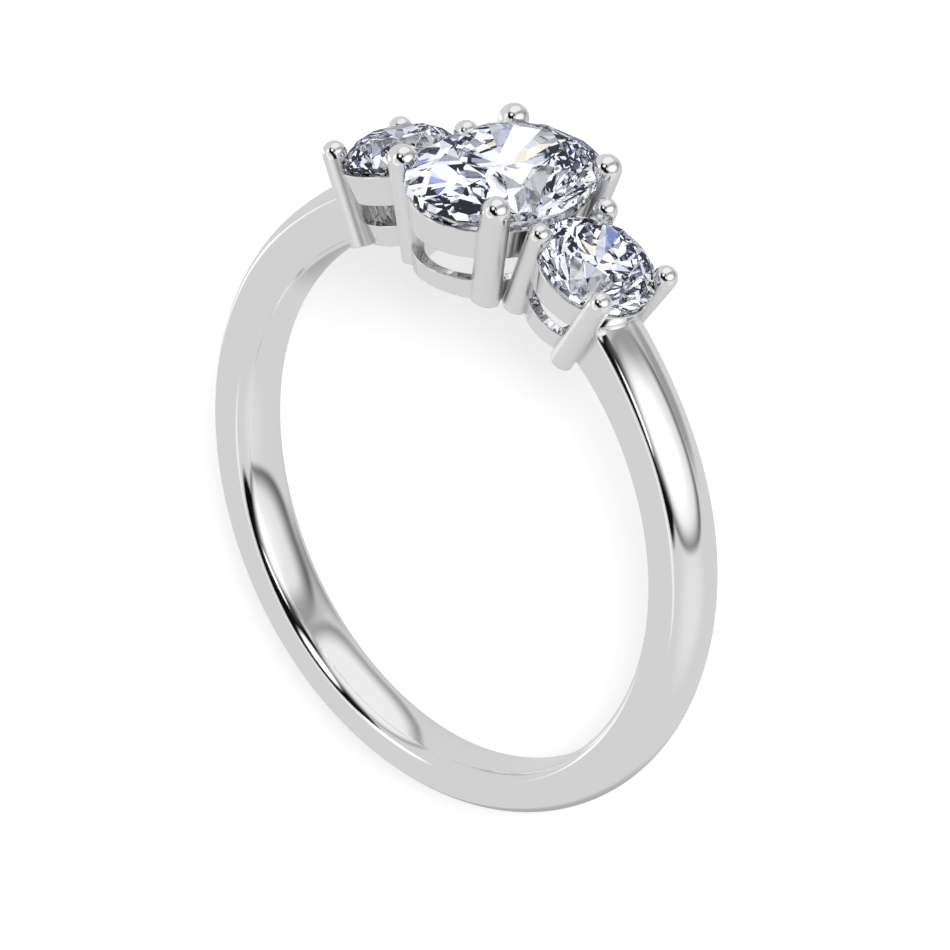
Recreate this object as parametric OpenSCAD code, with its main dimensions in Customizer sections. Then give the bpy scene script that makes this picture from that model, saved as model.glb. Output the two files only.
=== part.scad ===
// Three stone ring: one cast silver setting that holds an oval brilliant between two round ones.
//
// Millimetres. Everything is first made in the frame of the finger hole: the centre of the hole
// is the origin, the finger lies along Y, and the middle basket points up Z. lay_down() then
// lays the ring on its side, as it rests on a table by itself, with its head towards -Y.

/* [Band] */
// Inside diameter, a US size 7
finger_d = 17.3; // [15:0.1:20]
// Width of the band along the finger
band_w = 2.0; // [1.7:0.1:2.4]
// Height of the flat side faces, from the finger hole outwards
side_t = 1.30; // [1:0.02:1.5]
// How far the domed outside rises above the side faces
dome_rise = 0.44; // [0.3:0.02:0.6]
// Shift of the outside towards the stones, which makes the shoulders thicker than the back
shoulder_shift = 0.19; // [0:0.01:0.3]
// Width of the bevel between the side faces and the dome
edge_bevel = 0.08; // [0.04:0.01:0.14]
// Width of the rounded mouths of the finger hole, along the finger
mouth_w = 0.28; // [0.1:0.02:0.4]
// Depth of the rounded mouths of the finger hole, outwards
mouth_t = 0.22; // [0.1:0.02:0.3]

/* [Oval stone] */
// Length of the oval stone, along the finger
oval_l = 7.0; // [6.2:0.1:7.6]
// Width of the oval stone, around the finger
oval_w = 5.0; // [4.4:0.1:5.4]
// Height of its crown above the girdle
oval_crown = 0.80; // [0.5:0.02:1]
// Thickness of its girdle
oval_girdle = 0.30; // [0.15:0.01:0.4]
// Depth of its pavilion below the girdle
oval_pavilion = 2.15; // [1.8:0.05:2.3]
// Height of its girdle above the rim of the basket
oval_lift = 0.36; // [0.2:0.02:0.5]

/* [Round stones] */
// Diameter of each side stone
round_d = 3.8; // [3.2:0.1:4.2]
// Height of their crowns above the girdle
round_crown = 0.64; // [0.4:0.02:0.8]
// Thickness of their girdles
round_girdle = 0.18; // [0.1:0.01:0.3]
// Depth of their pavilions below the girdle
round_pavilion = 1.64; // [1.3:0.02:1.8]
// Height of their girdles above the rim of the basket
round_lift = 0.10; // [0.06:0.02:0.3]

/* [Cut of the stones] */
// Width of the table as a share of the stone
table_share = 0.56; // [0.5:0.01:0.62]
// Length of the star facets as a share of the way from the table to the girdle
star_share = 0.50; // [0.4:0.01:0.6]
// Length of the lower girdle facets as a share of the way from the girdle to the culet
lower_share = 0.77; // [0.7:0.01:0.85]

/* [Middle basket] */
// Top of the lower rail, above the finger hole
mid_low_h = 0.62; // [0.4:0.02:0.8]
// Underside of the upper rail, above the finger hole
mid_window_h = 1.44; // [1.2:0.02:1.6]
// Rim of the basket, above the finger hole
mid_rim_h = 2.47; // [2.2:0.02:2.7]
// How far the rim lies inside the long sides of the stone
mid_rim_in = 0.06; // [0:0.01:0.12]
// How far the rim lies inside the ends of the stone
mid_end_in = 0.23; // [0.1:0.01:0.3]
// Slope of the long sides, as the inwards part of a step down
mid_slope = 0.15; // [0.1:0.01:0.18]
// Diameter of the claw wire
mid_claw_d = 0.95; // [0.75:0.05:1.05]
// Height of the centres of the claw tips, above the finger hole
mid_tip_h = 3.33; // [3.1:0.02:3.5]
// Lean of the claws
mid_lean = 13.9; // [8:0.5:16]
// Turn of the claws around the oval, from its narrow way, in degrees of its own angle
mid_claw_turn = 42; // [36:1:50]

/* [Side baskets] */
// Top of the lower rail, above the finger hole
side_low_h = 0.70; // [0.5:0.02:0.9]
// Underside of the upper rail, above the finger hole
side_window_h = 1.38; // [1.2:0.02:1.6]
// Rim of the basket, above the finger hole
side_rim_h = 2.38; // [2.2:0.02:2.6]
// How far the rim lies outside the edge of the stone
side_rim_out = 0.05; // [0:0.01:0.1]
// Slope of the sides, as the inwards part of a step down
side_slope = 0.26; // [0.2:0.01:0.28]
// Diameter of the claw wire
side_claw_d = 0.78; // [0.65:0.02:0.9]
// Height of the centres of the claw tips, above the finger hole
side_tip_h = 2.96; // [2.8:0.02:3.1]
// Lean of the claws
side_lean = 8.1; // [4:0.5:12]
// How far the rims of neighbouring baskets run into each other
rim_overlap = 0.14; // [0.08:0.01:0.25]

/* [Fits] */
// Wall of the rails
rail_wall = 0.38; // [0.3:0.02:0.44]
// How far the centres of the claw tips lie outside the edge of their stone
tip_out = 0.16; // [0.1:0.01:0.25]
// Clearance between a stone and the metal
stone_gap = 0.02; // [0.01:0.005:0.04]
// How far past the axis of a side basket the band runs
band_end = 0.3; // [0.1:0.05:0.5]

/* [Hidden] */

$fn = 96;
// Straight steps in a quarter of an ellipse
arc_steps = 8;
// How far a cutting shape runs past what it cuts, and how little it does where it must not skim
past = 1;
skim = 0.01;
// Angle between the flat wall of the finger hole and its mouths, which leaves a faint crease
mouth_crease = 20;

finger_r = finger_d / 2;
half_w = band_w / 2;
side_r = finger_r + side_t;
top_r = side_r + dome_rise;
dome_r = (half_w * half_w + dome_rise * dome_rise) / (2 * dome_rise);

// Half sizes of the stones around the finger and along it
oval = [oval_w / 2, oval_l / 2];
round = [round_d / 2, round_d / 2];

// Half sizes of the rims, and heights above the centre of the finger hole
mid_rim = oval - [mid_rim_in, mid_end_in];
side_rim = round + [side_rim_out, side_rim_out];
mid_rim_z = finger_r + mid_rim_h;
side_rim_z = finger_r + side_rim_h;

// The side baskets turn about the finger until their rims run into the rim of the middle one.
side_turn = atan2(side_rim.x, side_rim_z)
    + asin((mid_rim.x - rim_overlap) / norm([side_rim_z, side_rim.x]));

// Where the tip of a claw stands around its stone
function tip_place(half, turn) = [(half.x + tip_out) * cos(turn), (half.y + tip_out) * sin(turn)];
mid_tip = tip_place(oval, mid_claw_turn);
side_tip = tip_place(round, 45);

// The ring lies on the lowest point of the band and on what reaches furthest along the finger
// at its head: the end of the oval stone, the rim below it, or the balls of two claws.
heel = [half_w, shoulder_shift - side_r];
function lean_onto(y, z, ball = 0) =
    let (way = [y, z] - heel) atan2(way.x, way.y) + asin(ball / norm(way));
rest_lean = max(
    lean_onto(oval.y, mid_rim_z + oval_lift),
    lean_onto(mid_rim.y, mid_rim_z),
    lean_onto(mid_tip.y, finger_r + mid_tip_h, mid_claw_d / 2));

// Places

// From the frame of the finger hole to the ring lying on its side
module lay_down() {
    rotate([-rest_lean, 0, 0])
        multmatrix([[-1, 0, 0, 0], [0, 0, -1, 0], [0, -1, 0, 0], [0, 0, 0, 1]])
            children();
}

// way is 0 for the middle basket, and 1 or -1 for a side basket
module at_head(way) {
    rotate([0, way * side_turn, 0])
        children();
}

// Band

// The section of the band: flat sides, a domed outside and a bevel between them
module band_section() {
    inside = finger_r - past;
    bevel_from = side_r - edge_bevel;
    fall = tan((90 - asin(half_w / dome_r)) / 2);
    run = dome_rise + edge_bevel + past;
    intersection() {
        union() {
            translate([inside, -half_w])
                square([bevel_from - inside, band_w]);
            translate([top_r - dome_r, 0])
                circle(r = dome_r);
        }
        polygon([
            [inside, -half_w], [bevel_from, -half_w], [bevel_from + run, fall * run - half_w],
            [bevel_from + run, half_w - fall * run], [bevel_from, half_w], [inside, half_w]]);
    }
}

// One rounded mouth of the finger hole, as a section to cut away. It is a quarter of an ellipse
// that crosses the flat wall of the hole at mouth_crease and runs out of the side face.
module mouth_section() {
    across = mouth_t / cos(mouth_crease);
    along = mouth_w / (1 - sin(mouth_crease));
    start = half_w + skim - along;
    polygon(concat(
        [[finger_r - past, start]],
        [for (i = [0:arc_steps]) let (t = 90 * i / arc_steps)
            [finger_r + mouth_t - across * cos(t), start + along * sin(t)]],
        [[finger_r + mouth_t, half_w + past], [finger_r - past, half_w + past]]));
}

module band() {
    reach = 2 * top_r;
    spread = reach * tan(side_turn + atan(band_end / finger_r));
    rotate([90, 0, 0])
        difference() {
            translate([0, shoulder_shift, 0])
                rotate_extrude()
                    band_section();
            for (face = [0, 180])
                rotate([face, 0, 0])
                    rotate_extrude()
                        mouth_section();
            // Between the side baskets there are only baskets.
            linear_extrude(height = band_w + past, center = true)
                polygon([[0, 0], [-spread, reach], [spread, reach]]);
        }
}

// Baskets

// A solid that narrows downwards between two heights, with half sizes given at its top
module narrowing(top, slope, from, to) {
    scale([1, top.y / top.x, 1])
        translate([0, 0, from])
            cylinder(h = to - from, r1 = top.x - slope * (to - from), r2 = top.x);
}

// One rail of a basket, still solid
module rail(rim, rim_z, slope, from, to) {
    narrowing(rim * (1 - slope * (rim_z - to) / rim.x), slope, from, to);
}

// A round wire with a ball for its tip, leaning inwards on its way down
module claw(tip, tip_z, wire_d, lean) {
    translate([tip.x, tip.y, tip_z])
        rotate([0, lean, atan2(tip.y, tip.x)]) {
            sphere(d = wire_d);
            translate([0, 0, finger_r - tip_z - past])
                cylinder(h = tip_z + past - finger_r, d = wire_d);
        }
}

module claws(tip, tip_z, wire_d, lean) {
    for (x = [-1, 1], y = [-1, 1])
        claw([x * tip.x, y * tip.y], tip_z, wire_d, lean);
}

module mid_basket() {
    rail(mid_rim, mid_rim_z, mid_slope, finger_r - past, finger_r + mid_low_h);
    rail(mid_rim, mid_rim_z, mid_slope, finger_r + mid_window_h, mid_rim_z);
    claws(mid_tip, finger_r + mid_tip_h, mid_claw_d, mid_lean);
}

module side_basket() {
    rail(side_rim, side_rim_z, side_slope, finger_r - past, finger_r + side_low_h);
    rail(side_rim, side_rim_z, side_slope, finger_r + side_window_h, side_rim_z);
    claws(side_tip, finger_r + side_tip_h, side_claw_d, side_lean);
}

// The hollow of a basket, from the finger hole to its rim
module hollow(rim, rim_z, slope) {
    inner = rim - [rail_wall, rail_wall];
    narrowing(inner, slope, finger_r - past, rim_z + skim);
}

// Stones

// A brilliant cut of radius 1, as places [across, along, up] from the lower edge of its girdle.
// Its eight main facets point along the girdle at every 45 degrees.
function around(r, turn, up) = [r * sin(turn), r * cos(turn), up];

// How much of a main facet's height is left over a place turned away from its middle, for a
// facet that falls from tip_r to the girdle
function main_share(r, tip_r) = (1 - r * cos(22.5)) / (1 - tip_r);

// The height over a place on the plane through three points
function on_plane(a, b, c, place) =
    let (n = cross(b - a, c - a)) a.z - (n.x * (place.x - a.x) + n.y * (place.y - a.y)) / n.z;

// One edge of the girdle: each facet that meets it cuts its round wall in a scallop.
function girdle_edge(inner, up) =
    let (
        half = around(1, 22.5, up),
        middle = around(1, 11.25, up),
        dip = on_plane(inner, around(1, 0, up), half, middle))
    [for (i = [0:31]) around(1, 11.25 * i, i % 2 == 0 ? up : dip)];

// Radius of the tips of the star facets, and of those of the lower girdle facets
star_r = table_share * cos(22.5) + star_share * (1 - table_share * cos(22.5));
lower_r = 1 - lower_share;

function star_up(crown) = crown * main_share(star_r, table_share);
function lower_down(pavilion) = pavilion * main_share(lower_r, 0);

module brilliant(half, crown, girdle, pavilion) {
    star_z = girdle + star_up(crown);
    lower_z = -lower_down(pavilion);
    eight = [0:7];
    points = concat(
        [for (i = eight) around(table_share, 45 * i, girdle + crown)],
        [for (i = eight) around(star_r, 45 * i + 22.5, star_z)],
        girdle_edge(around(star_r, 22.5, star_z), girdle),
        girdle_edge(around(lower_r, 22.5, lower_z), 0),
        [for (i = eight) around(lower_r, 45 * i + 22.5, lower_z)],
        [[0, 0, -pavilion]]);
    table = 0;
    star = 8;
    upper = 16;
    lower = 48;
    low = 80;
    culet = 88;
    faces = concat(
        [[for (i = eight) table + i]],
        [for (i = eight) [table + i, star + i, table + (i + 1) % 8]],
        [for (i = eight) [table + i, star + (i + 7) % 8, upper + 4 * i, star + i]],
        [for (i = eight, j = [0, 2])
            [star + i, for (k = [0:2]) upper + (4 * i + j + k) % 32]],
        [for (i = [0:31]) [upper + i, lower + i, lower + (i + 1) % 32, upper + (i + 1) % 32]],
        [for (i = eight, j = [0, 2])
            [low + i, for (k = [2:-1:0]) lower + (4 * i + j + k) % 32]],
        [for (i = eight) [culet, low + i, lower + 4 * i, low + (i + 7) % 8]]);
    polyhedron([for (p = points) [p.x * half.x, p.y * half.y, p.z]], faces);
}

// The room that the metal leaves for a stone: a round or oval body that just holds its facets
module stone_room(half, crown, girdle, pavilion) {
    r = half.x + stone_gap;
    scale([1, (half.y + stone_gap) / r, 1])
        rotate_extrude()
            polygon([
                [0, -pavilion - stone_gap],
                [lower_r * r, -lower_down(pavilion) - stone_gap],
                [r, -stone_gap],
                [r, girdle + stone_gap],
                [star_r * r, girdle + star_up(crown) + stone_gap],
                [table_share * r, girdle + crown + stone_gap],
                [0, girdle + crown + stone_gap]]);
}

module at_mid_seat() {
    translate([0, 0, mid_rim_z + oval_lift])
        children();
}

module at_side_seat(way) {
    at_head(way)
        translate([0, 0, side_rim_z + round_lift])
            children();
}

module side_stone(way) {
    color("lightcyan")
        lay_down()
            at_side_seat(way)
                brilliant(round, round_crown, round_girdle, round_pavilion);
}

// Sub-parts

module setting() {
    color("silver")
        lay_down()
            difference() {
                union() {
                    band();
                    mid_basket();
                    for (way = [-1, 1])
                        at_head(way)
                            side_basket();
                }
                rotate([90, 0, 0])
                    cylinder(r = finger_r, h = 2 * oval_l, center = true);
                hollow(mid_rim, mid_rim_z, mid_slope);
                at_mid_seat()
                    stone_room(oval, oval_crown, oval_girdle, oval_pavilion);
                for (way = [-1, 1]) {
                    at_head(way)
                        hollow(side_rim, side_rim_z, side_slope);
                    at_side_seat(way)
                        stone_room(round, round_crown, round_girdle, round_pavilion);
                }
            }
}

module centre_stone() {
    color("lightcyan")
        lay_down()
            at_mid_seat()
                brilliant(oval, oval_crown, oval_girdle, oval_pavilion);
}

// Left and right are as seen when facing the head of the lying ring.
module left_stone() {
    side_stone(1);
}

module right_stone() {
    side_stone(-1);
}

setting();
centre_stone();
left_stone();
right_stone();
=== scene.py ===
# %% [markdown]
# # A three stone ring, lying on a white table
# The metal is one piece of white metal: a domed band, three open baskets and twelve round
# claws. It holds an oval brilliant between two smaller round ones. The solids come from the
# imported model. This script gives them a finer metal surface, the finish of cut stones, a studio
# and a camera.

# %% Load the frame
import bpy
import math
from mathutils import Matrix, Vector


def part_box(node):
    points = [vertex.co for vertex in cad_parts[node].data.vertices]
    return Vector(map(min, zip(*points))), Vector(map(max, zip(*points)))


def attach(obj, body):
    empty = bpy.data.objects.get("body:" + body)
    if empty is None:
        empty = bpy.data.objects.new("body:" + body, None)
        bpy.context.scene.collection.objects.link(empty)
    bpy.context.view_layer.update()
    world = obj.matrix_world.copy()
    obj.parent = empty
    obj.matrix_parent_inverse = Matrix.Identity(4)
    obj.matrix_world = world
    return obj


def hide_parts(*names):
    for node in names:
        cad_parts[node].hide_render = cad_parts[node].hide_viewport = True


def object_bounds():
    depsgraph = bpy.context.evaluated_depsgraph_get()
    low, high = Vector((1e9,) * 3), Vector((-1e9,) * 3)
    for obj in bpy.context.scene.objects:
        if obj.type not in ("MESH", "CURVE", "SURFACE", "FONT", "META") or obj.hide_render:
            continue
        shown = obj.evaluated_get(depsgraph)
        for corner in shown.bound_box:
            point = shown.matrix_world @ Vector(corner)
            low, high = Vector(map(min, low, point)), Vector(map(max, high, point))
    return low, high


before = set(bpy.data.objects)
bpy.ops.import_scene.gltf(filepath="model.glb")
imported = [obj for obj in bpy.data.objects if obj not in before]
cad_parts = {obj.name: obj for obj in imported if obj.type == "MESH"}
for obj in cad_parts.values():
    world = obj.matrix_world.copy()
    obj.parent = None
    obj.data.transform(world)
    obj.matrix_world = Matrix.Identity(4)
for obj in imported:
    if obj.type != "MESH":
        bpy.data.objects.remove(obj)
bpy.ops.object.select_all(action="DESELECT")
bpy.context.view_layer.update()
for name in sorted(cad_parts):
    low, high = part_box(name)
    print(name, [round(1000 * size, 2) for size in high - low], "mm")

# %% [markdown]
# The source of the solids works in the frame of the finger hole: its centre is the origin, the
# finger lies along Y, and the middle stone points up Z. There the ring is easy to measure. It
# lies on its side on the table, so one matrix turns that frame into the frame of the scene.

# %% From the frame of the finger hole to the scene
mm = 0.001
rest_lean = math.radians(6.71297)
turn_over = Matrix(((-1, 0, 0), (0, 0, -1), (0, -1, 0)))
lay_down = Matrix.Rotation(-rest_lean, 3, "X") @ turn_over
print("the middle stone points along", [round(x, 3) for x in lay_down @ Vector((0, 0, 1))])

# %% [markdown]
# The photograph shows the ring standing, seen from above the near side. The camera was fitted to
# it: a little over 20 centimetres away, with a long lens, so that the ring hardly tapers. Its
# place is worked out in the frame of the finger hole, and then it turns along with the ring as
# that lies down. A small shift of the lens places the ring in the frame.

# %% Camera
around, above, roll = (math.radians(angle) for angle in (40.408, 30.417, 7.789))
distance = 210.904 * mm
picture, focal_length, middle_x, middle_y = 950, 6734.72, 458.96, 500.78  # in pixels
film = 36
back = Vector((
    math.sin(around) * math.cos(above), -math.cos(around) * math.cos(above), math.sin(above)))
level = Vector((math.cos(around), math.sin(around), 0))
upward = back.cross(level)
right = math.cos(roll) * level + math.sin(roll) * upward
up = math.cos(roll) * upward - math.sin(roll) * level
back, right, up = lay_down @ back, lay_down @ right, lay_down @ up
lens = bpy.data.cameras.new("camera")
camera = bpy.data.objects.new("camera", lens)
bpy.context.scene.collection.objects.link(camera)
bpy.context.scene.camera = camera
camera.matrix_world = Matrix((
    (right.x, up.x, back.x, distance * back.x),
    (right.y, up.y, back.y, distance * back.y),
    (right.z, up.z, back.z, distance * back.z),
    (0, 0, 0, 1)))
lens.sensor_width = film
lens.lens = focal_length / picture * film
lens.shift_x = (picture / 2 - middle_x) / picture
lens.shift_y = (middle_y - picture / 2) / picture
lens.clip_start, lens.clip_end = 0.01, 10
print("the camera stands", round(math.degrees(math.asin(back.z)), 1), "degrees above the table")


# %% [markdown]
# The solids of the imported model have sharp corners, and their round faces are made of flats,
# which a mirror finish would show. So the metal is modelled once more, to the same sizes, with
# fine steps and softer edges on the band and the upper rails. It is drawn large, with 1 unit for
# 1 mm, and shrunk at the end. Sizes are in millimetres, with half widths for the stones and
# rims, and with heights from the middle of the finger hole where a name ends in z. The claws'
# turn and lean are in degrees. The finger hole is taken as 17.3 mm across, the stones have stock
# sizes, and most of the rest was read off the photograph at that scale.

# %% Sizes of the ring
finger_r, half_w, side_r, dome_rise = 8.65, 1.0, 9.95, 0.44
shoulder_shift, flare = 0.19, 0.16
oval, round_stone = (2.5, 3.5), (1.9, 1.9)
mid_rim, mid_rim_z, mid_slope = (2.44, 3.27), finger_r + 2.47, 0.15
side_rim, side_rim_z, side_slope = (1.95, 1.95), finger_r + 2.38, 0.26
mid_low_top, mid_window = 0.62, 1.44
side_low_top, side_window = 0.70, 1.38
mid_wire, mid_tip_z, mid_turn, mid_lean = 0.95, finger_r + 3.33, 42, 13.9
side_wire, side_tip_z, side_tip_turn, side_lean = 0.78, finger_r + 2.96, 45, 8.1
mid_crown, mid_girdle, mid_pavilion, mid_seat_z = 0.80, 0.30, 2.15, mid_rim_z + 0.36
side_crown, side_girdle, side_pavilion, side_seat_z = 0.64, 0.18, 1.64, side_rim_z + 0.10
rail_wall, rim_overlap, stone_gap = 0.38, 0.14, 0.02
side_turn = math.atan2(side_rim[0], side_rim_z) + math.asin(
    (mid_rim[0] - rim_overlap) / math.hypot(side_rim_z, side_rim[0]))
print("each side basket leans", round(math.degrees(side_turn), 2), "degrees from the middle one")


# %% [markdown]
# Every piece of metal here is round about some axis, so each starts as an outline that is drawn
# by extruding one corner from place to place, as with a pencil, and is then spun.

# %% Helpers for shaping
def only(obj):
    bpy.ops.object.select_all(action="DESELECT")
    obj.select_set(True)
    bpy.context.view_layer.objects.active = obj


def outline(name, places):
    bpy.ops.object.select_all(action="DESELECT")
    bpy.ops.mesh.primitive_plane_add(size=0.1)
    obj = bpy.context.object
    obj.name = name
    bpy.ops.object.mode_set(mode="EDIT")
    bpy.ops.mesh.merge(type="CENTER")
    bpy.ops.transform.translate(value=places[0])
    for here, there in zip(places, places[1:]):
        step = [b - a for a, b in zip(here, there)]
        bpy.ops.mesh.extrude_region_move(TRANSFORM_OT_translate={"value": step})
    return obj


def spin(obj, axis, steps, degrees=360):
    bpy.ops.mesh.select_all(action="SELECT")
    bpy.ops.mesh.spin(steps=steps, angle=math.radians(degrees), center=(0, 0, 0), axis=axis)
    bpy.ops.mesh.select_all(action="SELECT")
    bpy.ops.mesh.remove_doubles(threshold=0.0005)


def close(obj):
    bpy.ops.mesh.select_all(action="SELECT")
    bpy.ops.mesh.normals_make_consistent(inside=False)
    bpy.ops.object.mode_set(mode="OBJECT")


def round_corners(obj, width, segments=3, sharper=35):
    only(obj)
    bpy.ops.object.mode_set(mode="EDIT")
    bpy.ops.mesh.select_mode(type="EDGE")
    bpy.ops.mesh.select_all(action="DESELECT")
    bpy.ops.mesh.edges_select_sharp(sharpness=math.radians(sharper))
    bpy.ops.mesh.bevel(offset=width, segments=segments, affect="EDGES", clamp_overlap=True)
    bpy.ops.mesh.select_mode(type="VERT")
    bpy.ops.object.mode_set(mode="OBJECT")


def pick(obj, where):
    """Selects the corners for which where is true, and goes into edit mode."""
    only(obj)
    bpy.ops.object.mode_set(mode="EDIT")
    bpy.ops.mesh.select_all(action="DESELECT")
    bpy.ops.object.mode_set(mode="OBJECT")
    for vertex in obj.data.vertices:
        vertex.select = where(vertex.co)
    bpy.ops.object.mode_set(mode="EDIT")


def cut(obj, tools):
    """Cuts all the tools out of a piece in one go."""
    shelf = bpy.data.collections.new("tools")
    bpy.context.scene.collection.children.link(shelf)
    for tool in tools:
        shelf.objects.link(tool)
    only(obj)
    made = obj.modifiers.new("cut", "BOOLEAN")
    made.operation = "DIFFERENCE"
    made.operand_type = "COLLECTION"
    made.collection = shelf
    made.solver = "EXACT"
    bpy.ops.object.modifier_apply(modifier=made.name)
    bpy.data.collections.remove(shelf)


def copy_of(obj, name, matrix):
    twin = obj.copy()
    twin.data = obj.data.copy()
    twin.name = name
    bpy.context.scene.collection.objects.link(twin)
    only(twin)
    twin.matrix_world = matrix
    bpy.ops.object.transform_apply()
    if matrix.determinant() < 0:
        bpy.ops.object.mode_set(mode="EDIT")
        close(twin)
    return twin


# %% [markdown]
# The band is a strip with a domed outside, flat sides and a softly opened inside. A goldsmith
# would roll it and bend it round. Here its outline is spun about the finger, all but the gap at
# the head. The outside is then slid a little towards the head, which thickens the shoulders.
# Where the band runs into the side baskets it flares up a little more, as solder and polish
# leave it: its ends are pulled outwards, and the pull fades along the shoulder.

# %% Band
def inside(crease=0.66, wall_tilt=9.0, mouth_tilts=((0.0, 27), (0.33, 35), (0.78, 45), (1.0, 68))):
    """Half the inside, from the middle outwards: places across the band and their radius."""
    wall_steps, mouth_steps = 8, 16
    places, radius = [(0.0, finger_r)], finger_r
    for i in range(1, wall_steps + 1):
        radius += crease / wall_steps * math.tan(math.radians(wall_tilt * (i - 0.5) / wall_steps))
        places.append((crease * i / wall_steps, radius))
    for i in range(1, mouth_steps + 1):
        share = (i - 0.5) / mouth_steps
        (from_, tilt), (to, next_tilt) = next(
            pair for pair in zip(mouth_tilts, mouth_tilts[1:]) if pair[1][0] >= share)
        tilt += (next_tilt - tilt) * (share - from_) / (to - from_)
        radius += (half_w - crease) / mouth_steps * math.tan(math.radians(tilt))
        places.append((crease + (half_w - crease) * i / mouth_steps, radius))
    return places


def band_outline():
    top_r = side_r + dome_rise
    dome_r = (half_w ** 2 + dome_rise ** 2) / (2 * dome_rise)
    foot, knee, edge = (half_w, side_r - 0.08), (half_w, 9.952), (0.948, 10.003)
    edge_steps, dome_steps = 4, 12
    half = inside()
    for i in range(edge_steps + 1):
        t = i / edge_steps
        half.append(tuple(
            (1 - t) ** 2 * a + 2 * t * (1 - t) * b + t * t * c
            for a, b, c in zip(foot, knee, edge)))
    painted_recess_shade = math.asin(edge[0] / dome_r)
    for i in range(1, dome_steps + 1):
        t = painted_recess_shade * (1 - i / dome_steps)
        half.append((dome_r * math.sin(t), top_r - dome_r + dome_r * math.cos(t)))
    return [(0, y, r) for y, r in half + [(-y, r) for y, r in reversed(half[1:-1])]]


half_opening = side_turn + math.atan(0.3 / finger_r)
turned = Matrix.Rotation(half_opening, 3, "Y")
places = [turned @ Vector(place) for place in band_outline()]
band = outline("band", places + places[:1])
bpy.ops.mesh.select_all(action="SELECT")
bpy.ops.mesh.remove_doubles(threshold=0.0005)
spin(band, (0, -1, 0), steps=220, degrees=360 - 2 * math.degrees(half_opening))
bpy.ops.mesh.select_mode(type="EDGE")
bpy.ops.mesh.select_all(action="DESELECT")
bpy.ops.mesh.select_non_manifold(
    extend=False, use_wire=False, use_boundary=True, use_multi_face=False,
    use_non_contiguous=False, use_verts=False)
bpy.ops.mesh.edge_face_add()
bpy.ops.mesh.select_mode(type="VERT")
bpy.ops.object.mode_set(mode="OBJECT")
wall_middle = finger_r + 0.5
pick(band, lambda co: math.hypot(co.x, co.z) > wall_middle)
bpy.ops.transform.translate(value=(0, 0, shoulder_shift))
bpy.ops.mesh.hide(unselected=True)
bpy.ops.object.mode_set(mode="OBJECT")
ends = side_turn + math.radians(10)
pick(band, lambda co: math.hypot(co.x, co.z) > wall_middle and math.atan2(abs(co.x), co.z) < ends)
wider = 1 + flare / side_r
bpy.ops.transform.resize(
    value=(wider, 1, wider), center_override=(0, 0, 0),
    use_proportional_edit=True, proportional_edit_falloff="SHARP", proportional_size=3.6)
bpy.ops.mesh.reveal(select=False)
close(band)
print("band", len(band.data.polygons), "faces, at the shoulder up to", round(max(
    math.hypot(v.co.x, v.co.z) for v in band.data.vertices), 3), "mm from the middle of the finger")


# %% [markdown]
# Some shapes are cut out of the metal rather than added to it: the finger, the hollow inside
# each basket, which lets light reach the stone from below, and the seat of each stone, which a
# setter cuts with a bur of the stone's own shape. They are made first, as tools.

# %% Cutting tools
def stretch(obj, along, where=lambda co: True):
    """Makes a round piece oval, or only those of its corners for which where is true."""
    pick(obj, where)
    bpy.ops.transform.resize(value=(1, along, 1), center_override=(0, 0, 0))
    bpy.ops.object.mode_set(mode="OBJECT")


def finger(radius):
    bpy.ops.object.select_all(action="DESELECT")
    bpy.ops.mesh.primitive_cylinder_add(
        vertices=288, radius=radius, depth=16, rotation=(math.pi / 2, 0, 0))
    bpy.context.object.name = "finger"
    bpy.ops.object.transform_apply()
    return bpy.context.object


def turned_tool(name, side, steps, along):
    obj = outline(name, [(x, 0, z) for x, z in side])
    spin(obj, (0, 0, 1), steps)
    close(obj)
    stretch(obj, along)
    return obj


def hollow(name, rim, rim_z, slope):
    beyond = 0.01
    r = rim[0] - rail_wall + beyond
    low, high = finger_r - 1, rim_z + beyond
    side = [(0, high), (r, high), (r - slope * (high - low), low), (0, low)]
    return turned_tool(name, side, steps=160, along=(rim[1] - rail_wall + beyond) / r)


def seat(name, half, crown, girdle, pavilion, seat_z):
    table_share, lower_share = 0.56, 0.23
    facet = math.cos(math.pi / 8)
    star_share = 0.5 + 0.5 * table_share * facet
    star_z = girdle + crown * (1 - star_share * facet) / (1 - table_share)
    lower_z = -pavilion * (1 - lower_share * facet)
    top, r = girdle + crown + stone_gap, half[0] + stone_gap
    side = [
        (0, -pavilion - stone_gap), (lower_share * r, lower_z - stone_gap), (r, -stone_gap),
        (r, girdle + stone_gap), (star_share * r, star_z + stone_gap), (table_share * r, top),
        (0, top)]
    side = [(x, seat_z + z) for x, z in side]
    return turned_tool(name, side, steps=128, along=(half[1] + stone_gap) / r)


mid_hollow = hollow("mid_hollow", mid_rim, mid_rim_z, mid_slope)
side_hollow = hollow("side_hollow", side_rim, side_rim_z, side_slope)
mid_seat = seat("mid_seat", oval, mid_crown, mid_girdle, mid_pavilion, mid_seat_z)
side_seat = seat("side_seat", round_stone, side_crown, side_girdle, side_pavilion, side_seat_z)
rail_trim, claw_trim = 0.006, 0.012
finger_hole, claw_end = finger(finger_r + rail_trim), finger(finger_r + claw_trim)
to_left, to_right = (Matrix.Rotation(way * side_turn, 4, "Y") for way in (1, -1))
for tool in (mid_hollow, side_hollow, mid_seat, side_seat, finger_hole, claw_end):
    print(tool.name, "is", [round(size, 2) for size in tool.dimensions], "mm")


# %% [markdown]
# A basket is two rails, one above the other, with a window between them. Each rail is a tapered
# ring. The four edges of the upper one are rounded like those of cast metal that has been
# through the polish. The lower one is trimmed to the finger first. That cut leaves very short
# edges, which hold its rounding to less than 0.001 mm, so it only shows as a faint speckle in
# what the rail mirrors.

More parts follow.
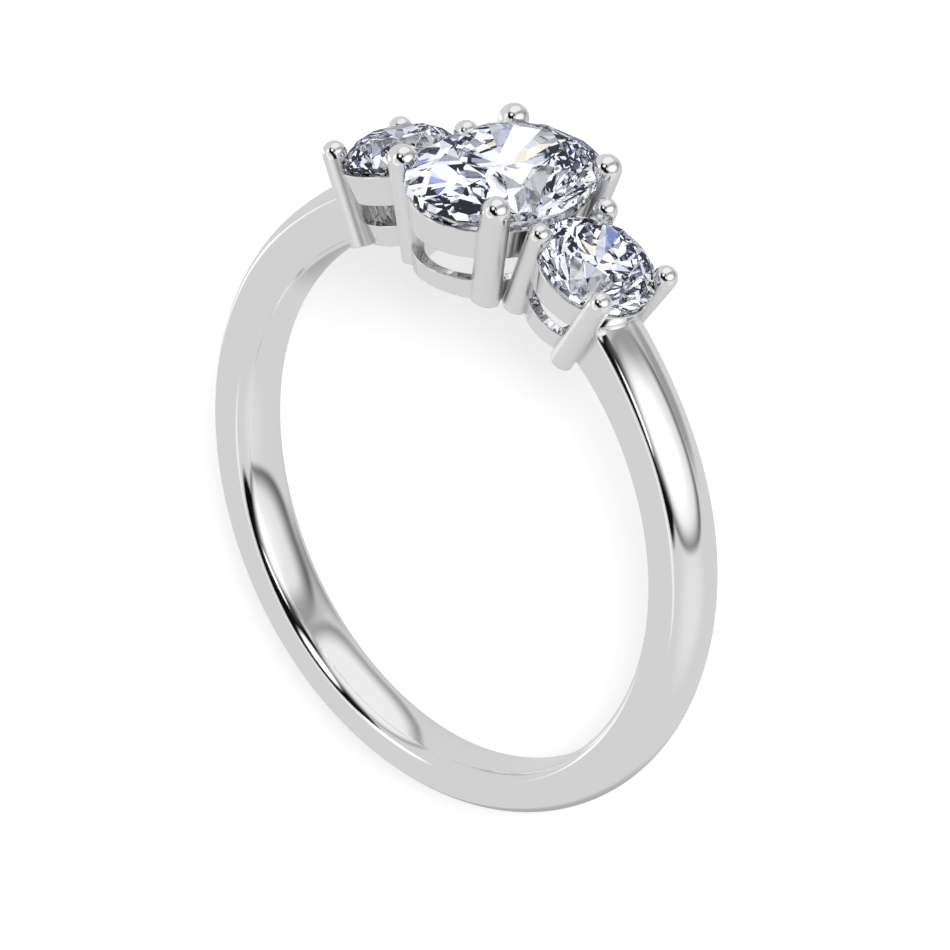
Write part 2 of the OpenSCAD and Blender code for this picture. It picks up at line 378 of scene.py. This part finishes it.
# %% Rails
def ring(name, rim, rim_z, slope, low, high, steps):
    """One rail: a tapered ring between two heights, with a wall of even thickness."""
    def out_r(z):
        return rim[0] - slope * (rim_z - z)

    obj = outline(name, [
        (out_r(high), 0, high), (out_r(low), 0, low), (out_r(low) - rail_wall, 0, low),
        (out_r(high) - rail_wall, 0, high), (out_r(high), 0, high)])
    bpy.ops.mesh.select_all(action="SELECT")
    bpy.ops.mesh.remove_doubles(threshold=0.0005)
    spin(obj, (0, 0, 1), steps)
    close(obj)
    inner_share = (rim[1] - rail_wall) / (rim[0] - rail_wall)
    stretch(obj, rim[1] / rim[0], lambda co: math.hypot(co.x, co.y) > out_r(co.z) - rail_wall / 2)
    stretch(obj, inner_share, lambda co: math.hypot(co.x, co.y) < out_r(co.z) - rail_wall / 2)
    return obj


def rails(name, rim, rim_z, slope, low_top, window, steps, seat_tool):
    upper = ring(name + "_upper", rim, rim_z, slope, finger_r + window, rim_z, steps)
    round_corners(upper, width=0.05)
    cut(upper, [seat_tool])
    trimmed = 0.9
    low, high = finger_r - trimmed, finger_r + low_top
    lower = ring(name + "_lower", rim, rim_z, slope, low, high, steps)
    cut(lower, [finger_hole])
    round_corners(lower, width=0.04)
    return [upper, lower]


mid_rails = rails(
    "mid", mid_rim, mid_rim_z, mid_slope, mid_low_top, mid_window, steps=160, seat_tool=mid_seat)
side_rails = rails(
    "side", side_rim, side_rim_z, side_slope, side_low_top, side_window, steps=128,
    seat_tool=side_seat)
print("rails", [len(obj.data.polygons) for obj in mid_rails + side_rails], "faces")


# %% [markdown]
# A material is a few nodes and their links. These helpers keep the cells that follow short.

# %% Helpers for nodes
def new_material(name):
    material = bpy.data.materials.new(name)
    material.use_nodes = True
    material.node_tree.nodes.clear()
    return material.node_tree


def node(tree, kind, **settings):
    made = tree.nodes.new(kind)
    for key, value in settings.items():
        setattr(made, key, value)
    return made


# %% [markdown]
# Polished white metal is a mirror. What the eye reads as its colour is the studio that it
# mirrors. A faint, very fine waviness is left by the polishing wheel. In the photograph the
# shafts of the claws look an even grey, without the hard lines of a mirror, so they get a
# softer, brushed finish of the same metal. The metal's colour is darker in its recesses, which
# is painted shade where other metal or the stones are close by. Its sharp edges and its joins
# look softened, which is a matter of shading alone.

# %% Two finishes of the metal
def white_metal(name, smoothest, roughest, recess_shade_grey=0.70, brightest=0.92):
    tree = new_material(name)
    place = node(tree, "ShaderNodeTexCoord")
    wave = node(tree, "ShaderNodeTexNoise")
    wave.inputs["Scale"].default_value = 900
    wave.inputs["Detail"].default_value = 2
    gloss = node(tree, "ShaderNodeMapRange")
    gloss.inputs["To Min"].default_value = smoothest
    gloss.inputs["To Max"].default_value = roughest
    bump = node(tree, "ShaderNodeBump")
    bump.inputs["Strength"].default_value = 0.02
    bump.inputs["Distance"].default_value = 0.01 * mm
    solder = node(tree, "ShaderNodeBevel", samples=6)
    solder.inputs["Radius"].default_value = 0.07 * mm
    # Painted shade: the base colour is made darker where other metal or the stones lie within 2.5
    # mm, as if shade fell there.
    painted_recess_shade = node(tree, "ShaderNodeAmbientOcclusion", samples=6)
    painted_recess_shade.inputs["Distance"].default_value = 2.5 * mm
    bright = node(tree, "ShaderNodeMapRange")
    for socket, value in (
            ("From Min", 0.2), ("From Max", 0.7), ("To Min", recess_shade_grey), ("To Max", brightest)):
        bright.inputs[socket].default_value = value
    metal = node(tree, "ShaderNodeBsdfPrincipled")
    metal.inputs["Metallic"].default_value = 1
    out = node(tree, "ShaderNodeOutputMaterial")
    link = tree.links.new
    link(place.outputs["Object"], wave.inputs["Vector"])
    link(wave.outputs["Fac"], gloss.inputs["Value"])
    link(gloss.outputs["Result"], metal.inputs["Roughness"])
    link(wave.outputs["Fac"], bump.inputs["Height"])
    link(solder.outputs["Normal"], bump.inputs["Normal"])
    link(bump.outputs["Normal"], metal.inputs["Normal"])
    link(painted_recess_shade.outputs["AO"], bright.inputs["Value"])
    link(bright.outputs["Result"], metal.inputs["Base Color"])
    link(metal.outputs["BSDF"], out.inputs["Surface"])
    return bpy.data.materials[name]


polished = white_metal("polished_metal", smoothest=0.035, roughest=0.075)
brushed = white_metal("brushed_metal", smoothest=0.34, roughest=0.40)
print("finishes:", polished.name, "and", brushed.name)


# %% [markdown]
# A claw is a round wire whose tip is melted or filed into a ball. It leans inwards on its way
# down, and its foot is cut off at the finger. As on the lower rails, the rounding after the cut
# comes out very small, less than 0.003 mm. The ball is polished, and the shaft below it is
# brushed.

# %% Claws
def claw(name, tip, tip_z, wire_d, lean_degrees, tools):
    r, trimmed, ball_steps, shaft_steps = wire_d / 2, 1.2, 12, 6
    length = tip_z - finger_r + trimmed
    turns = [math.pi / 2 * i / ball_steps for i in range(ball_steps)]
    ball = [(r * math.cos(t), 0, r * math.sin(t)) for t in turns]
    neck = -0.3 * r
    shaft = [
        (r, 0, neck - (length + neck) * (1 - i / shaft_steps)) for i in range(shaft_steps + 1)]
    obj = outline(name, [(0, 0, -length)] + shaft + ball + [(0, 0, r)])
    spin(obj, (0, 0, 1), steps=56)
    close(obj)
    for finish in (polished, brushed):
        obj.data.materials.append(finish)
    pick(obj, lambda co: co.z < neck + 0.01)
    obj.active_material_index = 1
    bpy.ops.object.material_slot_assign()
    bpy.ops.object.mode_set(mode="OBJECT")
    lean = math.radians(lean_degrees)
    obj.matrix_world = Matrix.Translation((tip[0], tip[1], tip_z)) @ (
        Matrix.Rotation(math.atan2(tip[1], tip[0]), 4, "Z") @ Matrix.Rotation(lean, 4, "Y"))
    bpy.ops.object.transform_apply()
    cut(obj, [claw_end])
    round_corners(obj, width=0.10, segments=4, sharper=50)
    cut(obj, tools)
    return obj


def tip_place(half, turn, out=0.16):
    turn = math.radians(turn)
    return (half[0] + out) * math.cos(turn), (half[1] + out) * math.sin(turn)


def four(obj):
    """The claw and its three mirror images."""
    mirrors = [Matrix.Diagonal((x, y, 1, 1)) for x, y in ((-1, 1), (1, -1), (-1, -1))]
    return [obj] + [copy_of(obj, obj.name, mirror) for mirror in mirrors]


mid_claws = four(claw(
    "mid_claw", tip_place(oval, mid_turn), mid_tip_z, mid_wire, mid_lean,
    [mid_hollow, mid_seat]))
side_claws = four(claw(
    "side_claw", tip_place(round_stone, side_tip_turn), side_tip_z, side_wire, side_lean,
    [side_seat]))
print("claws", [len(obj.data.polygons) for obj in mid_claws + side_claws], "faces")


# %% [markdown]
# The side basket is modelled once, upright, and copied to both sides. The band ends inside the
# walls of the two side baskets, so what reaches into their hollows is cut away. Then all the
# metal is joined into one object, whose parts are closed shells that run into each other where
# they meet. Its corners are smooth to the eye where they turn by less than 30 degrees, and its
# large faces keep their own flat shine.

# %% The metal as one object
metal_parts = mid_rails + mid_claws
for name, turn in (("left", to_left), ("right", to_right)):
    metal_parts += [copy_of(obj, name + "_" + obj.name, turn) for obj in side_rails + side_claws]
side_hollows = [copy_of(side_hollow, "side_hollow", turn) for turn in (to_left, to_right)]
cut(band, side_hollows)
for obj in side_rails + side_claws + side_hollows + [
        mid_hollow, side_hollow, mid_seat, side_seat, finger_hole, claw_end]:
    bpy.data.objects.remove(obj)
for obj in [band] + metal_parts:
    if not obj.data.materials:
        obj.data.materials.append(polished)
only(band)
for obj in metal_parts:
    obj.select_set(True)
bpy.ops.object.join()
band.name = "polished_setting"
bpy.ops.object.shade_smooth_by_angle(angle=math.radians(30))
even = band.modifiers.new("even", "WEIGHTED_NORMAL")
even.keep_sharp = True
bpy.ops.object.modifier_apply(modifier=even.name)
print("the metal is one object of", len(band.data.polygons), "faces,", sum(
    face.material_index == 1 for face in band.data.polygons), "of them brushed")


# %% [markdown]
# Now the ring is shrunk from millimetres to metres and laid on the table, and the place is
# written into its corners, so that the object itself sits at the origin.

# %% Laying it on the table
band.matrix_world = lay_down.to_4x4() @ Matrix.Scale(mm, 4)
only(band)
bpy.ops.object.transform_apply()
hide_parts("setting")
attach(band, "root")
print("the metal is", [round(1000 * size, 2) for size in band.dimensions], "mm")


# %% [markdown]
# A diamond bends light so strongly that most of what enters through the crown is thrown back
# out of it. Its facets stay flat and sharp, so each one shows a piece of the studio in one
# even tone. The stone itself is all but colourless, with faint clouds of a cool tint in it. The
# facets of the three stones are the solids' own, so only their finish is made here.

# %% Cut diamond
def cut_diamond():
    tree = new_material("cut_diamond")
    place = node(tree, "ShaderNodeTexCoord")
    clouds = node(tree, "ShaderNodeTexNoise")
    clouds.inputs["Scale"].default_value = 500
    tint = node(tree, "ShaderNodeValToRGB")
    cool, clear = (0.984, 0.988, 1, 1), (0.996, 0.997, 1, 1)
    for element, colour in zip(tint.color_ramp.elements, (cool, clear)):
        element.color = colour
    glass = node(tree, "ShaderNodeBsdfGlass")
    glass.inputs["IOR"].default_value = 2.417
    glass.inputs["Roughness"].default_value = 0
    out = node(tree, "ShaderNodeOutputMaterial")
    link = tree.links.new
    link(place.outputs["Object"], clouds.inputs["Vector"])
    link(clouds.outputs["Fac"], tint.inputs["Fac"])
    link(tint.outputs["Color"], glass.inputs["Color"])
    link(glass.outputs["BSDF"], out.inputs["Surface"])
    return bpy.data.materials["cut_diamond"]


diamond = cut_diamond()
stones = [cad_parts[name] for name in ("centre_stone", "left_stone", "right_stone")]
for stone in stones:
    stone.material_slots[0].material = diamond
    print(stone.name, "has", len(stone.data.polygons), "facets in its mesh")


# %% [markdown]
# The table is a wide white sheet. A little light of its own keeps it as white as the paper
# sweep of a photographer, and a broad softbox, low on the camera's side, lays a faint shadow
# behind the ring. Neither is mirrored in the metal, which shows the tent of the next cells.

# %% Table
table_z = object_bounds()[0].z
bpy.ops.mesh.primitive_plane_add(size=4, location=(0, 0, table_z))
table = bpy.context.object
table.name = "table"
tree = new_material("white_sheet")
sheet = node(tree, "ShaderNodeBsdfDiffuse")
sheet.inputs["Color"].default_value = (0.80, 0.80, 0.80, 1)
lit = node(tree, "ShaderNodeEmission")
lit.inputs["Strength"].default_value = 0.39
both = node(tree, "ShaderNodeAddShader")
out = node(tree, "ShaderNodeOutputMaterial")
tree.links.new(sheet.outputs[0], both.inputs[0])
tree.links.new(lit.outputs[0], both.inputs[1])
tree.links.new(both.outputs[0], out.inputs["Surface"])
table.data.materials.append(bpy.data.materials["white_sheet"])
table.visible_glossy = False
table.visible_transmission = False
softbox = bpy.data.lights.new("softbox", "SUN")
softbox.energy = 3.3
softbox.angle = math.radians(36)
hung = bpy.data.objects.new("softbox", softbox)
side_of_camera = Vector((-0.63, -0.63, 0.46))
hung.rotation_euler = side_of_camera.to_track_quat("Z", "Y").to_euler()
hung.visible_glossy = False
hung.visible_transmission = False
bpy.context.scene.collection.objects.link(hung)
print("the table lies at", round(1000 * table_z, 2), "mm")


# %% [markdown]
# The studio is a white tent, and the world's colour stands for it. Real cards and lamps could
# be modelled round the ring, but a mirror only shows the direction that a ray leaves in, so it
# is simpler to paint the tent by direction: the compass direction, 0 towards the head of the
# ring and 90 to the right of it, and the height above the table, both in degrees.

# %% Directions in the tent
world = bpy.data.worlds.new("tent")
bpy.context.scene.world = world
world.use_nodes = True
tent = world.node_tree
tent.nodes.clear()


def maths(operation, *values, clamp=False):
    made = node(tent, "ShaderNodeMath", operation=operation, use_clamp=clamp)
    for socket, value in zip(made.inputs, values):
        if isinstance(value, (int, float)):
            socket.default_value = value
        else:
            tent.links.new(value, socket)
    return made.outputs[0]


look_at = node(tent, "ShaderNodeTexCoord")
parts = node(tent, "ShaderNodeSeparateXYZ")
tent.links.new(look_at.outputs["Generated"], parts.inputs[0])
x, y, z = parts.outputs
compass = maths("DEGREES", maths("ARCTAN2", x, maths("MULTIPLY", y, -1)))
height = maths("DEGREES", maths("ARCSINE", z))
print(len(tent.nodes), "nodes give each ray its compass direction and height")


# %% [markdown]
# The tent is a soft grey all round. Two tall white panels stand where the metal is to gleam,
# each with a thin dark frame and with dusk between them, and a black card hangs above them with
# lamps in it. A polished ring would look like plaster without such dark places. Each panel is
# an oblong with rounded corners, and the later ones in the list hang in front of the earlier.

# %% Panels of the tent
def oblong(at, half, tilt=0, squareness=3.0, soft=0.3):
    """A mask from 0 to 1: where it is, its half width and half height, in degrees."""
    across = maths("WRAP", maths("SUBTRACT", compass, at[0]), 180, -180)
    upright = maths("SUBTRACT", height, at[1])
    c, s = math.cos(math.radians(tilt)), math.sin(math.radians(tilt))
    u, v = (
        maths("ADD", maths("MULTIPLY", across, a / size), maths("MULTIPLY", upright, b / size))
        for a, b, size in ((c, s, half[0]), (-s, c, half[1])))
    far = maths("ADD", *(maths("POWER", maths("ABSOLUTE", side), squareness) for side in (u, v)))
    edge = node(tent, "ShaderNodeMapRange", interpolation_type="SMOOTHSTEP")
    for socket, value in (
            ("From Min", 1 - soft / 2), ("From Max", 1 + soft / 2), ("To Min", 1), ("To Max", 0)):
        edge.inputs[socket].default_value = value
    tent.links.new(maths("POWER", far, 1 / squareness), edge.inputs["Value"])
    return edge.outputs[0]


def lay_over(below, mask, brightness):
    """Pastes a panel of one grey over what is there already."""
    uncovered = maths("MULTIPLY", below, maths("SUBTRACT", 1, mask))
    return maths("ADD", uncovered, maths("MULTIPLY", mask, brightness))


panels = [
    ("light from behind", oblong((135, 62), (95, 10), 0, 3.0, 0.6), 0.95),
    ("shade below", oblong((-36, -60), (30, 15), 0, 2.0, 0.9), 0.36),
    ("shade of the foot", oblong((150, -36), (26, 15), 0, 2.0, 0.9), 0.44),
    ("glow beside the left panel", oblong((-108, -7), (22, 25), 0, 2.0, 1.2), 0.82),
    ("frame of the left panel", oblong((-59.5, -3.5), (31.5, 45), 5, 3.5, 0.14), 0.14),
    ("frame of the right panel", oblong((8.2, -3), (32.3, 43), 0, 3.5, 0.14), 0.19),
    ("black card", oblong((-31.5, 57), (72, 25.5), 5, 3.0, 0.12), 0.004),
    ("left panel", oblong((-59.5, -2), (27.5, 38), 5, 2.8, 0.40), 0.84),
    ("right panel", oblong((8.2, -2), (29.3, 39.5), 0, 3.0, 0.40), 0.92),
    ("dusk between the panels", oblong((-31, -4), (8, 32), 5, 2.0, 1.5), 0.36),
    ("right strip", oblong((110, 8), (8, 26), 0, 3.0, 0.6), 1.15),
    ("low lamp", oblong((62, 56), (24, 8), 0, 2.0, 0.5), 1.4),
    ("lamp", oblong((-53, 45), (14, 2.2), -6, 2.0, 0.5), 1.9),
    ("second lamp", oblong((-10, 50), (16, 9), 0, 2.0, 0.5), 1.4),
    ("gleam of the left panel", oblong((-61, 10), (17, 25), 0, 2.0, 1.6), 1.4),
]
tent_grey = 0.69
mirrored = tent_grey
for name, mask, brightness in panels:
    mirrored = lay_over(mirrored, mask, brightness)
print(len(panels), "panels in the tent")
glow = node(tent, "ShaderNodeBackground")
tent.links.new(mirrored, glow.inputs["Color"])


# %% [markdown]
# A cut stone shows what lies all round it, broken into small flashes. So the rays that leave a
# stone see a tent of many small panels and gaps, each in one tone, from deep blue to bright
# white. What the stones mirror on their outside is kept dim, so that it doesn't veil the
# flashes, and the camera itself sees plain white.

# %% What the stones and the camera see
cells = node(tent, "ShaderNodeTexVoronoi", feature="F1")
cells.inputs["Scale"].default_value = 4.5
tent.links.new(look_at.outputs["Generated"], cells.inputs["Vector"])
split = node(tent, "ShaderNodeSeparateColor")
tent.links.new(cells.outputs["Color"], split.inputs[0])
tones = node(tent, "ShaderNodeValToRGB")
tent.links.new(split.outputs[0], tones.inputs[0])
ramp = tones.color_ramp
ramp.interpolation = "CONSTANT"
steps = [
    (0.00, (0.004, 0.006, 0.035)), (0.06, (0.12, 0.14, 0.26)), (0.11, (0.54, 0.57, 0.70)),
    (0.20, (1.05, 1.08, 1.20)), (0.38, (1.45, 1.46, 1.5)), (0.66, (1.9, 1.9, 1.9)),
    (0.96, (1.45, 1.30, 1.05)), (0.97, (0.35, 0.47, 0.95))]
while len(ramp.elements) < len(steps):
    ramp.elements.new(0.5)
for element, (place, colour) in zip(ramp.elements, steps):
    element.position = place
    element.color = (*colour, 1)
sparkle = node(tent, "ShaderNodeBackground")
tent.links.new(tones.outputs[0], sparkle.inputs["Color"])
dim = node(tent, "ShaderNodeBackground")
dim.inputs["Color"].default_value = (0.20, 0.21, 0.28, 1)
plain = node(tent, "ShaderNodeBackground")
plain.inputs["Color"].default_value = (1, 1, 1, 1)
path = node(tent, "ShaderNodeLightPath")
seen = glow
for ray, background in (
        ("Is Singular Ray", dim), ("Is Transmission Ray", sparkle), ("Is Camera Ray", plain)):
    either = node(tent, "ShaderNodeMixShader")
    tent.links.new(path.outputs[ray], either.inputs[0])
    tent.links.new(seen.outputs[0], either.inputs[1])
    tent.links.new(background.outputs[0], either.inputs[2])
    seen = either
sky = node(tent, "ShaderNodeOutputWorld")
tent.links.new(seen.outputs[0], sky.inputs["Surface"])
print(len(tent.nodes), "nodes in the tent")


# %% [markdown]
# The picture's tones are taken as they are, without a film look, so white stays white. A ray
# turns many times inside a diamond before it leaves, and would end black if it were cut short.

# %% Colour and light paths
scene = bpy.context.scene
scene.view_settings.view_transform = "Standard"
scene.view_settings.look = "None"
scene.cycles.max_bounces = 24
scene.cycles.transmission_bounces = 24
scene.cycles.glossy_bounces = 8
print("a ray may turn", scene.cycles.transmission_bounces, "times inside the stones")
